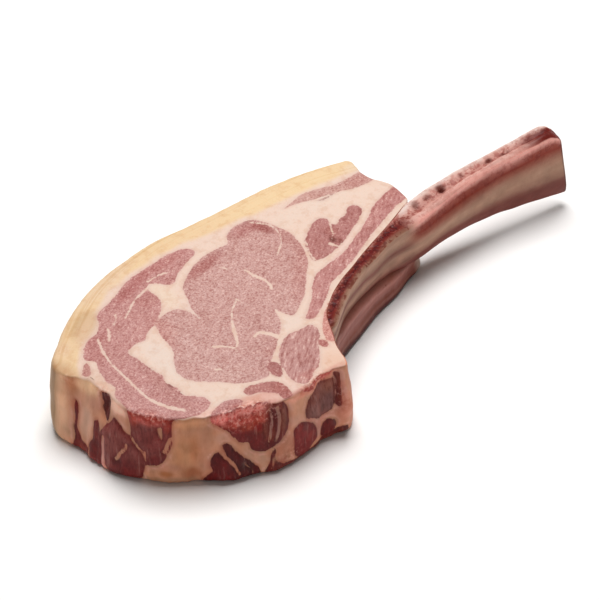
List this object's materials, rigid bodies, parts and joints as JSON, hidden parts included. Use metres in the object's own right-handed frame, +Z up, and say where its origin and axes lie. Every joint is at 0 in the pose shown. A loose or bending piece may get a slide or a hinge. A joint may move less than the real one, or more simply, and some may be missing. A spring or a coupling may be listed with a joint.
{
  "type": "raw tomahawk rib steak",
  "caption": "Thick raw tomahawk rib steak: a slab of marbled rib meat with a layer of back fat along one edge and its long, curved, cleaned rib bone left on.",
  "frame": {"origin": "under the middle of the whole steak, on the surface it lies on", "axes": "+X runs along the steak from the backbone end to the free end of the rib, +Y points to the back fat and +Z is up, through the thickness of the slab"},
  "size_m": [0.3448, 0.1456, 0.0571],
  "materials": {
    "meat": "moist raw lean meat with pale seams of fat, slightly glossy",
    "fat": "firm cream to yellow fat, satin",
    "bone": "damp bone: a thin membrane on its faces, red spongy bone where it is sawn"
  },
  "bodies": {
    "root": {"meat": "meat", "fat_cap": "fat", "rib_bone": "bone"}
  },
  "joints": []
}
